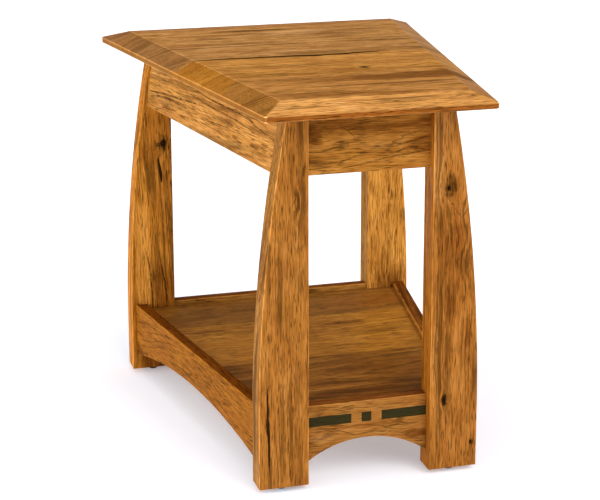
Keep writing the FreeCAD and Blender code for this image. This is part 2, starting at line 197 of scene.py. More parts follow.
# growth bands, which lighten and darken the wood, and the stain in ring lines and in pores strung along them
def addRings(tree, look, reach, grain):
    bands = addNode(tree, "TexNoise", {"W": reach, "Scale": 1 / look["bandWidth"], "Detail": 4.0,
                                       "Roughness": 0.6}, noise_dimensions="1D")
    ring = addNode(tree, "TexNoise", {"W": reach, "Scale": 1 / look["lineSpacing"], "Detail": 1.0,
                                      "Roughness": 0.4}, noise_dimensions="1D")
    ring = addNode(tree, "Math", {0: ring, 1: 0.5}, operation="SUBTRACT")
    ring = addNode(tree, "Math", {0: ring}, operation="ABSOLUTE")
    ringLine = addNode(tree, "MapRange", {"Value": ring, "From Min": 0.02, "From Max": 0.07,
                                          "To Min": look["lineStrength"], "To Max": 0.0})
    patch = addNode(tree, "MapRange", {"Value": grain["patch"], "From Min": 0.42, "From Max": 0.60,
                                       "To Min": 0.05, "To Max": 1.0})
    ringLine = addNode(tree, "Math", {0: ringLine, 1: patch}, operation="MULTIPLY")
    nearRing = addNode(tree, "MapRange", {"Value": ring, "From Min": 0.04, "From Max": 0.2,
                                          "To Min": 1.0, "To Max": 0.45})
    pores = addNode(tree, "MapRange", {"Value": grain["pore"], "From Min": 0.52, "From Max": 0.64,
                                       "To Min": 0.0, "To Max": look["poreStrength"]})
    pores = addNode(tree, "Math", {0: pores, 1: nearRing}, operation="MULTIPLY")
    ink = addNode(tree, "Math", {0: ringLine, 1: pores}, operation="MAXIMUM")
    tone = addNode(tree, "Math", {0: bands, 1: 0.5}, operation="SUBTRACT")
    tone = addNode(tree, "Math", {0: tone, 1: patch}, operation="MULTIPLY")
    tone = addNode(tree, "Math", {0: tone, 1: look["bandShare"]}, operation="MULTIPLY")
    return tone, ink


# A line follows a path along the grain, with a half width at each point. It wanders by wiggle, has soft
# sides, and goes depth into the board.
plainLine = {"wiggle": 2.0, "soft": 0.6, "openSoft": 0.35, "dark": 0.95, "depth": 12.0}
lineFade = 4.0     # how much deeper it fades out
lineEnd = 0.6      # how far the half width falls below nothing past the ends
levelRun = 0.1     # least rise of a path, so that a level one can be drawn


def addLine(tree, line, split, turn, rag):
    points = sorted(((turn @ Vector(p), w) for p, w in line["path"]), key=lambda pair: pair[0].x)
    start, end = points[0][0].x, points[-1][0].x
    low = min(p.y for p, w in points)
    high = max(max(p.y for p, w in points), low + levelRun)
    widest = max(w for p, w in points)
    share = addNode(tree, "MapRange", {"Value": split.outputs[0], "From Min": start, "From Max": end})
    curves = []
    for isWidth in (False, True):
        curveOut = addNode(tree, "FloatCurve", {"Value": share})
        knobs = curveOut.node.mapping.curves[0].points
        levels = [(w + lineEnd) / (widest + lineEnd) if isWidth else (p.y - low) / (high - low)
                  for p, w in points]
        knobs[0].location = (0, 0 if isWidth else levels[0])
        knobs[1].location = (1, 0 if isWidth else levels[-1])
        for (p, w), level in list(zip(points, levels))[1:-1]:
            knobs.new((p.x - start) / (end - start), level)
        curveOut.node.mapping.update()
        curves.append(curveOut)
    middle = addNode(tree, "Math", {0: curves[0], 1: high - low, 2: low - 0.5 * line["wiggle"]},
                     operation="MULTIPLY_ADD")
    middle = addNode(tree, "Math", {0: rag, 1: line["wiggle"], 2: middle}, operation="MULTIPLY_ADD")
    aside = addNode(tree, "Math", {0: split.outputs[1], 1: middle}, operation="SUBTRACT")
    aside = addNode(tree, "Math", {0: aside}, operation="ABSOLUTE")
    inside = addNode(tree, "Math", {0: curves[1], 1: widest + lineEnd, 2: -lineEnd}, operation="MULTIPLY_ADD")
    inside = addNode(tree, "Math", {0: inside, 1: aside}, operation="SUBTRACT")
    soft = line["openSoft" if line.get("open") else "soft"]
    gap = addNode(tree, "MapRange", {"Value": inside, "From Min": -soft, "From Max": soft,
                                     "To Min": 0.0, "To Max": line["dark"]})
    below = addNode(tree, "Math", {0: split.outputs[2], 1: points[0][0].z}, operation="SUBTRACT")
    below = addNode(tree, "Math", {0: below}, operation="ABSOLUTE")
    shallow = addNode(tree, "MapRange", {"Value": below, "From Min": line["depth"],
                                         "From Max": line["depth"] + lineFade, "To Min": 1.0, "To Max": 0.0})
    return addNode(tree, "Math", {0: gap, 1: shallow}, operation="MULTIPLY")


def makeHickory(name, board):
    look = {**hickory, **board}
    material, tree = newMaterial(name)
    along = Vector(look["along"]).normalized()
    across = Vector(look["across"]).normalized()
    turn = Matrix((along, across, along.cross(across)))
    own = addNode(tree, "TexCoord", {}, out=3)
    place = addNode(tree, "Mapping", {"Vector": own, "Rotation": turn.to_euler(),
                                      "Scale": (1 / mm, 1 / mm, 1 / mm)})
    poreSize = (look["poreLength"], look["poreWidth"], look["poreWidth"])
    patterns = {**grainPatterns, "pore": (poreSize, *porePattern)}
    grain = {key: addPattern(tree, place, look["seed"], *pattern) for key, pattern in patterns.items()}

    # distance from the pith, bent by the tree's own waves and by each knot
    pithPlace = addNode(tree, "Mapping", {
        "Vector": place, "Rotation": (0, look["tilt"][1], look["tilt"][0]),
        "Location": (0, -look["pith"][0], -look["pith"][1])})
    flat = addNode(tree, "VectorMath", {0: pithPlace, 1: (0, 1, 1)}, operation="MULTIPLY")
    reach = addNode(tree, "VectorMath", {0: flat}, out=1, operation="LENGTH")
    for key, size in (("slow", "waveSize"), ("quick", "rippleSize")):
        reach = addNode(tree, "Math", {0: grain[key], 1: look[size], 2: reach}, operation="MULTIPLY_ADD")
    reach, hearts, halos, shades, blushes = addMarks(tree, look["marks"], place, turn, grain["rag"], reach)
    reach = addNode(tree, "Math", {0: reach, 1: look["seed"] * seedStep["rings"]}, operation="ADD")
    tone, ink = addRings(tree, look, reach, grain)
    ink = addNode(tree, "Math", {0: ink, 1: halos}, operation="ADD", use_clamp=True)

    split = addNode(tree, "SeparateXYZ", {"Vector": place}).node
    for line in look["lines"]:
        gap = addLine(tree, {**plainLine, **line}, split, turn, grain["rag"])
        # open cracks join the knots' dark hearts, as painted shade in the gap
        if line.get("open"):
            hearts = addNode(tree, "Math", {0: gap, 1: hearts}, operation="MAXIMUM")
        elif line.get("pale"):
            shades = addNode(tree, "Math", {0: gap, 1: line["pale"], 2: shades}, operation="MULTIPLY_ADD")
        else:
            broken = addNode(tree, "MapRange", {"Value": grain["rag"], "From Min": 0.4, "From Max": 0.55,
                                                "To Min": 0.5, "To Max": 0.95})
            gap = addNode(tree, "Math", {0: gap, 1: broken}, operation="MULTIPLY")
            ink = addNode(tree, "Math", {0: gap, 1: ink}, operation="MAXIMUM")

    # how light each spot is: bands that come and go, long streaks, fine streaks and a mottle
    for key in ("streak", "brush", "fine", "mottle"):
        share = look[key + "Share"]
        tone = addNode(tree, "Math", {0: grain[key], 1: share, 2: tone}, operation="MULTIPLY_ADD")
        tone = addNode(tree, "Math", {0: tone, 1: 0.5 * share}, operation="SUBTRACT")

    # end grain drinks the stain evenly, so its pattern is fainter
    endOn = addNode(tree, "VectorMath", {0: addNode(tree, "TexCoord", {}, out=1), 1: along}, out=1,
                    operation="DOT_PRODUCT")
    endOn = addNode(tree, "Math", {0: endOn}, operation="ABSOLUTE")
    plain = addNode(tree, "MapRange", {"Value": endOn, "From Min": 0.15, "From Max": 0.7,
                                       "To Min": 1.0, "To Max": 0.25})
    tone = addNode(tree, "Math", {0: tone, 1: plain}, operation="MULTIPLY")
    ink = addNode(tree, "Math", {0: ink, 1: plain}, operation="MULTIPLY")
    tone = addNode(tree, "Math", {0: tone, 1: 0.5}, operation="ADD")
    tone = addNode(tree, "Math", {0: tone, 1: shades}, operation="ADD")

    base = toLinear(look["tone"])
    paler = [min(a * b, 0.95) for a, b in zip(base, look["palerBy"])] + [1]
    deeper = [a * b for a, b in zip(base, look["deeperBy"])] + [1]
    dark = addNode(tree, "MapRange", {"Value": tone, "From Min": 0.5, "From Max": 0.0,
                                      "To Min": 0.0, "To Max": 0.9})
    pale = addNode(tree, "MapRange", {"Value": tone, "From Min": 0.5, "From Max": 1.0,
                                      "To Min": 0.0, "To Max": 0.8})
    redder = addNode(tree, "MapRange", {"Value": grain["red"], "From Min": 0.48, "From Max": 0.68,
                                        "To Min": 0.0, "To Max": look["blushShare"]})
    blushes = addNode(tree, "Math", {0: redder, 1: blushes}, operation="MAXIMUM")
    color = addNode(tree, "Mix", {0: dark, 6: base, 7: deeper}, out=2, data_type="RGBA")
    color = addNode(tree, "Mix", {0: pale, 6: color, 7: paler}, out=2, data_type="RGBA")
    color = addNode(tree, "Mix", {0: blushes, 6: color, 7: toLinear(look["blush"])}, out=2, data_type="RGBA")
    color = addNode(tree, "Mix", {0: ink, 6: color, 7: toLinear(look["inked"])}, out=2, data_type="RGBA")

    # painted light and shade stored on each face, and some real tone between the top's boards
    paintedOnFace = addNode(tree, "Attribute", {}, out=1, attribute_name="paintedFaceLightAndTone")
    paintedOnFace = addNode(tree, "VectorMath", {0: paintedOnFace, 1: (1, 1, 1)}, operation="ADD")
    color = addNode(tree, "VectorMath", {0: color, 1: paintedOnFace}, operation="MULTIPLY")
    # painted shade in open cracks, and the dark hearts of knots
    color = addNode(tree, "Mix", {0: hearts, 6: color, 7: toLinear(look["hollow"])}, out=2, data_type="RGBA")

    height = addNode(tree, "Math", {0: ink, 1: -look["inkedDepth"]}, operation="MULTIPLY")
    height = addNode(tree, "Math", {0: hearts, 1: -look["hollowDepth"], 2: height}, operation="MULTIPLY_ADD")
    bump = addNode(tree, "Bump", {"Height": height, "Distance": mm, "Strength": 0.8})
    rough = addNode(tree, "MapRange", {"Value": ink, "From Min": 0.0, "From Max": 1.0,
                                       "To Min": look["roughness"],
                                       "To Max": look["roughness"] + look["inkedRoughness"]})
    rough = addNode(tree, "Math", {0: hearts, 1: look["hollowRoughness"], 2: rough},
                    operation="MULTIPLY_ADD", use_clamp=True)
    rubbed = addNode(tree, "Attribute", {}, out=2, attribute_name="rubbed")
    coat = addNode(tree, "Math", {0: rubbed, 1: look["polish"]}, operation="MULTIPLY")
    surface = addNode(tree, "BsdfPrincipled", {
        "Base Color": color, "Roughness": rough, "Normal": bump, "Coat Weight": coat,
        "Coat Roughness": look["polishRoughness"], "Specular IOR Level": look["gloss"],
        "Specular Tint": toLinear(look["glossTint"])})
    addNode(tree, "OutputMaterial", {"Surface": surface})
    return material


# Copies of the boards with their long arrises rounded, as sandpaper leaves them. Each face keeps its painted
# light and shade, how much lighter or darker it is painted than the board's flat faces as light falls on it,
# as red, green and blue shares, and whether it is one of the rounded ones.
easing = {
    "mergeWithin": 0.004,
    "flatWithin": 0.4,         # degrees between triangles that are one flat face
    "sharpFrom": 12,           # degrees between faces that meet in an arris
    "smoothWithin": 35,
    "narrowBelow": 1.0,        # mean width of a rounded face
}
# how a face lies, by parts of its normal
facing = {
    "bevel": (0.8, 0.98),      # the top's wide bevels, by the upward part
    "leftBevel": 0.3,          # and the left one, by the part to the left
    "slanted": (0.2, 0.97),    # chamfers and round arrises, while flat faces have more
    "innerArris": 0.93,        # between the top's face and its bevels
    "upright": 0.3,            # the most upward part of an upright face
    "topSide": 0.8,
    "legSide": 0.9,
}


def onBevel(normal):
    return facing["bevel"][0] < normal.z < facing["bevel"][1]


def isSlanted(part):
    return facing["slanted"][0] < abs(part) < facing["slanted"][1]


def isUpright(normal):
    return abs(normal.z) < facing["upright"]


def easedPiece(name, nodeName, width, wanted, paintedOnFace, segments=3, cuts=()):
    made = bpy.data.objects.new(name, nodes[nodeName].data.copy())
    bpy.context.scene.collection.objects.link(made)
    bpy.ops.object.select_all(action="DESELECT")
    bpy.context.view_layer.objects.active = made
    made.select_set(True)
    bpy.ops.object.mode_set(mode="EDIT")
    bpy.ops.mesh.select_mode(type="EDGE")
    bpy.ops.mesh.select_all(action="SELECT")
    bpy.ops.mesh.remove_doubles(threshold=easing["mergeWithin"] * mm)
    bpy.ops.mesh.dissolve_limited(angle_limit=math.radians(easing["flatWithin"]))
    bpy.ops.mesh.select_all(action="DESELECT")
    shape = bmesh.from_edit_mesh(made.data)
    sharp = math.radians(easing["sharpFrom"])
    for edge in shape.edges:
        if len(edge.link_faces) == 2 and edge.is_convex and edge.calc_face_angle() > sharp:
            a, b = (v.co / mm for v in edge.verts)
            edge.select_set(wanted(a, b))
    bmesh.update_edit_mesh(made.data)
    bpy.ops.mesh.bevel(offset=width * mm, segments=segments, affect="EDGES", clamp_overlap=segments == 2)
    shape = bmesh.from_edit_mesh(made.data)
    shape.normal_update()
    rubbed = shape.faces.layers.float.new("rubbed")
    for face in shape.faces:
        longest = max(edge.calc_length() for edge in face.edges)
        narrow = face.calc_area() < easing["narrowBelow"] * mm * longest
        face[rubbed] = 1.0 if face.select and narrow else 0.0
    for at, run in cuts:
        for face in shape.faces:
            face.select_set(onBevel(face.normal) and face.normal.x < -facing["leftBevel"])
        bmesh.update_edit_mesh(made.data)
        bpy.ops.mesh.bisect(plane_co=(at[0] * mm, at[1] * mm, 0), plane_no=(run[1], -run[0], 0))
        shape = bmesh.from_edit_mesh(made.data)
    rubbed = shape.faces.layers.float["rubbed"]
    # store each face's painted light and shade
    stored = shape.faces.layers.float_vector.new("paintedFaceLightAndTone")
    for face in shape.faces:
        face[stored] = paintedOnFace(face.normal, face.calc_center_median() / mm, face[rubbed] > 0.5)
    bmesh.update_edit_mesh(made.data)
    bpy.ops.object.mode_set(mode="OBJECT")
    bpy.ops.object.shade_smooth_by_angle(angle=math.radians(easing["smoothWithin"]))
    made.data.materials.clear()
    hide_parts(nodeName)
    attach(made, "root")
    return made


# Places on the boards' faces. The fixed number is where a face lies, and the left faces run aslant.
def onTop(x, y):
    return x, y, 626


def onShelf(x, y):
    return x, y, 122


def onLeg(x, z):
    return x, -311, z


def onBackLeg(x, z):
    return x, 272, z


def onFront(x, z):
    return x, -294, z


def onLeftApron(y, z):
    return -185.0 - 0.1587 * y, y, z


def onLeftRail(y, z):
    return -214.1 - 0.1583 * y, y, z


# a line through places on a face, each with its half width, and one that thins out toward both ends
def traced(face, points, **look):
    return {"path": [(face(a, b), halfWidth) for a, b, halfWidth in points], **look}


def strand(face, points, half=0.9, wiggle=1.5):
    widths = [0.4 * half] + [half] * (len(points) - 2) + [0.4 * half]
    return traced(face, [(*p, w) for p, w in zip(points, widths)], wiggle=wiggle, dark=0.75, soft=0.8)


# Table top: five boards across the table, with a wide bevel all round
topJoints = (-159.7, 14.0, 155.3, 300.3)
topCrack = traced(onTop, [
    (-203, 13.5, 0), (-190, 13.5, 1.8), (-150, 14, 3.6), (-110, 12.5, 4.2), (-71, 12, 4.4), (-37, 11, 5.4),
    (-14, 7, 7.0), (5, 5, 7.0), (26, 7, 4.6), (50, 6, 5.6), (75, 11, 4.6), (101, 12, 4.0), (122, 14, 2.2),
    (143, 14.5, 0.8)], wiggle=3.0, depth=9.0, open=True)
# a pale glue line that crosses the left bevel aslant
glueLine = {"path": [((-200, 20.5, 626), 1.3), ((-212, 12, 621), 1.3), ((-231, -3.5, 613), 1.1)],
            "wiggle": 0.6, "depth": 24.0, "pale": 0.9}
topBoards = {
    "TopBoard1": {
        "node": "top_board_1", "seed": 1, "tone": "#b87d3c", "pith": (-420, 540), "tilt": (0, 0.02),
        "fineShare": 0.8, "bandShare": 0.4, "brushShare": 0.4,
        "marks": [
            {"at": onTop(112, -200), "size": (94, 23, 30), "shade": -0.6, "ragged": 0.7},
            {"at": onTop(40, -212), "size": (130, 7, 30), "shade": -0.35, "ragged": 1.3},
            {"at": onTop(168, -200), "size": (48, 32, 30), "shade": -0.35, "ragged": 0.7},
            {"at": onTop(-20, -192), "size": (110, 14, 30), "shade": -0.3, "ragged": 1.2},
            {"at": onTop(-60, -300), "size": (70, 12, 30), "shade": -0.35},
            {"at": onTop(0, -316), "size": (130, 9, 30), "shade": -0.3, "ragged": 1.2}],
        "lines": [traced(onTop, [(-125, -316, 0.3), (-114, -316, 1.6), (-100, -317, 0.3)])]},
    "TopBoard2": {
        "node": "top_board_2", "seed": 2, "tone": "#c0833b", "pith": (60, 520), "tilt": (0, 0.02),
        "marks": [{"at": onTop(51, -116), "size": (9, 8, 20), "halo": 0.6, "core": 0.45, "swirl": 5.0},
                  {"at": onTop(-60, -135), "size": (150, 26, 30), "shade": -0.12, "ragged": 1.2}],
        "lines": [topCrack, glueLine]},
    "TopBoard3": {
        "node": "top_board_3", "seed": 3, "tone": "#b67f42", "pith": (-60, 530), "tilt": (0, -0.02),
        "lines": [topCrack, glueLine]},
    "TopBoard4": {
        "node": "top_board_4", "seed": 4, "tone": "#b88143", "pith": (330, 530), "tilt": (0, 0.02),
        "marks": [{"at": onTop(30, 236), "size": (60, 20, 30), "shade": 0.3, "soft": 0.15},
                  {"at": onTop(95, 222), "size": (40, 5, 30), "shade": -0.4}]},
    "TopBoard5": {"node": "top_board_5", "seed": 5, "tone": "#b37c45", "pith": (200, 530), "tilt": (0, 0.02)},
}
# Painted light and shade on the top's faces, as shares of the flat face's colour: the front bevel lit and
# paler with painted sheen, the right bevel with painted sheen, the left bevel shaded and its tone changing
# from board to board, the edge bands darker, partly their edge grain and partly painted shade, painted
# highlights along the arrises and painted glints at the front corners
topPaintedLightAndTone = {
    "front": (0.38, 0.47, 0.66),
    "right": (-0.02, 0.06, 0.54),
    "back": (0.1, 0.1, 0.1),
    "left": [(-0.41, -0.43, -0.42), (-0.32, -0.39, -0.66), (-0.38, -0.41, -0.54)],   # from the back forward
    "frontEdge": (-0.30, -0.50, -0.70),
    "leftEdge": (-0.48, -0.54, -0.78),
    "innerArris": (0.2, 0.25, 0.35),
    "arris": (0.08, 0.08, 0.05),
    "corner": (2.2, 3.0, 5.0),
    "cornersBefore": -300,     # the front corners have painted glints
    "frontEdgeBefore": -355,
}
# where the left bevel changes colour, as a point and a run in plan
bevelSeams = [((-200, 21), (-31, -24)), ((-176, -171), (-24, -21))]
# the arrises that are rounded: none along the glue joints, and none of the short ones at the back corners,
# which would bulge
topEasing = {"width": 1.1, "jointWithin": 0.5, "upright": 0.9, "backFrom": 300, "shortBelow": 4}


def topEdge(a, b):
    reach = topEasing["jointWithin"]
    onJoint = any(abs(a.y - y) < reach and abs(b.y - y) < reach for y in topJoints)
    upright = abs(a.z - b.z) > topEasing["upright"] * (a - b).length
    shortAtBack = a.y >= topEasing["backFrom"] and (a - b).length <= topEasing["shortBelow"]
    return not (onJoint or upright or shortAtBack)


# painted light and shade for each face of the top
def paintTopFaces(normal, middle, eased):
    if eased:
        turned = min(abs(normal.x), abs(normal.y)) > facing["slanted"][0]
        glintCorner = turned and middle.y < topPaintedLightAndTone["cornersBefore"]
        return topPaintedLightAndTone["corner" if glintCorner else "innerArris" if normal.z > facing["innerArris"] else "arris"]
    if onBevel(normal):
        if abs(normal.x) > abs(normal.y):
            zone = sum((middle.x - at[0]) * run[1] < (middle.y - at[1]) * run[0] for at, run in bevelSeams)
            return topPaintedLightAndTone["left"][zone] if normal.x < 0 else topPaintedLightAndTone["right"]
        return topPaintedLightAndTone["front" if normal.y < 0 else "back"]
    if isUpright(normal) and normal.y < -facing["topSide"] and middle.y < topPaintedLightAndTone["frontEdgeBefore"]:
        return topPaintedLightAndTone["frontEdge"]
    return topPaintedLightAndTone["leftEdge"] if isUpright(normal) and normal.x < -facing["topSide"] else (0, 0, 0)


for name, board in topBoards.items():
    piece = easedPiece(name, board["node"], topEasing["width"], topEdge, paintTopFaces,
                       cuts=bevelSeams)
    dress(piece, makeHickory("Hickory" + name, board))
print("top done")

# Legs: vertical grain, knots and splits on their outer faces
legs = {
    "LegFrontLeft": {
        "node": "leg_front_left", "seed": 6, "tone": "#a66928", "pith": (-40, -230), "tilt": (0.02, 0.02),
        "marks": [{"at": onLeg(-117, 466), "size": (12, 5, 40), "swirl": 5.0, "halo": 0.15},
                  {"at": onLeg(-114, 376), "size": (14, 4, 40), "swirl": -5.0, "halo": 0.1}],
        "lines": [
            traced(onLeg, [(-166, 178, 0.4), (-165, 153, 1.5), (-165, 127, 1.9), (-165, 111, 2.6),
                           (-163.5, 94, 2.2), (-163, 57, 1.3), (-164, 24, 0.5)], open=True, wiggle=3.0),
            traced(onLeg, [(-130, 46, 0.3), (-129, 30, 1.1), (-128, 14, 0.3)]),
            traced(onLeg, [(-122, 462, 0.4), (-121, 468, 0.9), (-118, 474, 0.6)]),
            traced(onLeg, [(-117, 474, 0.6), (-114, 468, 0.9), (-114, 456, 0.9), (-116, 442, 0.4)]),
            traced(onLeg, [(-125, 534, 0.3), (-125, 524, 0.9), (-125, 512, 0.3)]),
            traced(onLeg, [(-105, 532, 0.3), (-105, 518, 0.9), (-105, 502, 0.3)]),
            traced(onLeg, [(-127, 172, 0.3), (-127, 158, 0.9), (-127, 144, 0.3)])]},
    "LegFrontRight": {
        "node": "leg_front_right", "seed": 7, "tone": "#a36627", "pith": (60, -240), "tilt": (-0.02, 0.02),
        "streakShare": 0.8,
        "marks": [
            {"at": onLeg(127, 472), "size": (19, 11, 40), "swirl": 14.0, "halo": 0.35},
            {"at": onLeg(129, 483), "size": (9, 6, 30), "halo": 0.3, "ragged": 1.0},
            {"at": onLeg(125, 459), "size": (3, 8, 30), "halo": 0.3, "ragged": 0.7},
            {"at": onLeg(124, 470), "size": (7, 5, 30), "halo": 0.3, "core": 0.55, "ragged": 0.6},
            {"at": onLeg(146, 430), "size": (18, 12, 40), "swirl": 5.0, "shade": 0.1},
            {"at": onLeg(151, 350), "size": (18, 12, 40), "swirl": 5.0, "halo": 0.25},
            {"at": onLeg(123, 124), "size": (9, 4.5, 25), "swirl": 6.0, "halo": 0.5, "core": 0.5},
            {"at": onLeg(169, 49), "size": (5, 2.8, 25), "swirl": 4.0, "halo": 0.5, "core": 0.5},
            {"at": onLeg(106, 514), "size": (90, 8, 60), "shade": 0.35},
            {"at": onLeg(160, 232), "size": (26, 6, 40), "shade": -0.4, "blush": 0.1, "ragged": 1.3},
            {"at": onLeg(130, 270), "size": (26, 9, 40), "shade": -0.2, "blush": 0.1, "ragged": 1.3},
            {"at": onLeg(146, 399), "size": (50, 12, 60), "blush": 0.2},
            {"at": onLeg(138, 340), "size": (85, 30, 60), "shade": -0.24, "blush": 0.1, "soft": 0.6},
            {"at": onLeg(122, 540), "size": (75, 30, 60), "shade": 0.15, "soft": 0.6}],
        "lines": [
            strand(onLeg, [(106, 500), (104, 453), (101, 405), (99, 372)], 0.7, 3.0),
            strand(onLeg, [(124, 411), (122, 371), (117, 315), (112, 275)], 0.8, 3.0),
            strand(onLeg, [(117, 440), (113, 400), (110, 350), (106, 300)], 0.6, 3.0),
            traced(onLeg, [(133, 440, 0.3), (139, 431, 0.9), (146, 421, 0.7)]),
            traced(onLeg, [(157, 438, 0.3), (151, 428, 0.9), (146, 421, 0.7)]),
            traced(onLeg, [(126, 415, 0.3), (129, 406, 0.9), (132, 394, 0.4)]),
            traced(onLeg, [(156, 358, 0.3), (153, 347, 1.0), (155, 334, 0.5)]),
            traced(onLeg, [(140, 350, 0.3), (142, 355, 0.9), (147, 359, 0.5)])]},
    "LegBackLeft": {
        "node": "leg_back_left", "seed": 8, "tone": "#b67325", "pith": (-120, 350), "tilt": (0.02, -0.02),
        "marks": [
            {"at": onBackLeg(-200, 430), "size": (16, 12, 30), "swirl": 12.0, "halo": 0.45, "core": 0.5,
             "ragged": 0.7, "rough": 0.8},
            # painted shade on the foot, darker and redder, where the rail's arch shades it
            {"at": onBackLeg(-222, 22), "size": (34, 26, 60), "shade": -0.35, "blush": 0.3, "ragged": 0.4},
            {"at": onBackLeg(-224, 408), "size": (22, 18, 40), "shade": -0.15, "blush": 0.25},
            {"at": onBackLeg(-243, 224), "size": (110, 14, 40), "shade": 0.4},
            {"at": onBackLeg(-205, 154), "size": (50, 20, 40), "shade": -0.2, "blush": 0.2}],
        "lines": [
            traced(onBackLeg, [(-210, 406, 0.4), (-208.5, 392, 2.0), (-206, 376, 2.6), (-204.5, 358, 0.4)],
                   open=True),
            traced(onBackLeg, [(-240, 240, 0.4), (-230, 196, 1.8), (-227, 150, 2.0), (-226, 110, 1.8)],
                   wiggle=3.0),
            traced(onBackLeg, [(-215, 240, 0.3), (-206, 186, 1.7), (-201, 155, 1.8), (-200, 110, 1.5)],
                   wiggle=3.0)]},
    "LegBackRight": {
        "node": "leg_back_right", "seed": 9, "tone": "#d28e39", "pith": (320, 350), "tilt": (0.01, -0.015),
        "lineStrength": 0.3, "fineShare": 1.6, "streakShare": 0.65, "mottleShare": 1.0,
        # painted shade low on the leg, darker and redder, where it rises from the shelf
        "marks": [{"at": onBackLeg(240, 134), "size": (26, 40, 60), "shade": -0.25, "blush": 0.25,
                   "soft": 0.6}]},
}
# Painted light and shade on the legs' faces, as shares of the flat faces' colour: sides lightened or darkened
# as light falls on them, and painted highlights along the arrises
legPaintedLight = {
    "leftSide": (-0.15, -0.03, 0.19),          # left side of the front left leg
    "innerSide": (-0.03, -0.12, -0.55),        # inner side of the front right leg,
    "innerSideBack": (-0.5, -0.5, -0.6),       # and of the one behind it
    "innerArrisBack": (-0.1, -0.1, -0.1),
    "arris": (0.4, 0.45, 0.6),
    "leftArrisHighlight": (0.8, 0.95, 1.4),           # painted highlight on the left arrises of the front left leg
}
legEasing = {"width": 0.8, "below": 8.5}       # only round the foot, as the long arrises are round already


def footEdge(a, b):
    return a.z < legEasing["below"] and b.z < legEasing["below"]


# painted light and shade for each face of a leg
def paintLegFaces(normal, middle, eased):
    atRight = middle.x > 0
    atFront = middle.y < 0
    if atRight and normal.x < -facing["slanted"][1]:
        return legPaintedLight["innerSide" if atFront else "innerSideBack"]
    if atFront and normal.x < -facing["legSide"]:
        return legPaintedLight["leftSide"]
    if atRight and not atFront and normal.x < 0:
        return legPaintedLight["innerArrisBack"]
    if eased or not isSlanted(normal.x) or not isUpright(normal):
        return (0, 0, 0)
    return legPaintedLight["leftArrisHighlight" if atFront and not atRight and normal.x < 0 else "arris"]


for name, board in legs.items():
    board = {"along": (0, 0, 1), "across": (1, 0, 0), **board}
    piece = easedPiece(name, board["node"], legEasing["width"], footEdge, paintLegFaces, 2)
    dress(piece, makeHickory("Hickory" + name, board))
print("legs done")

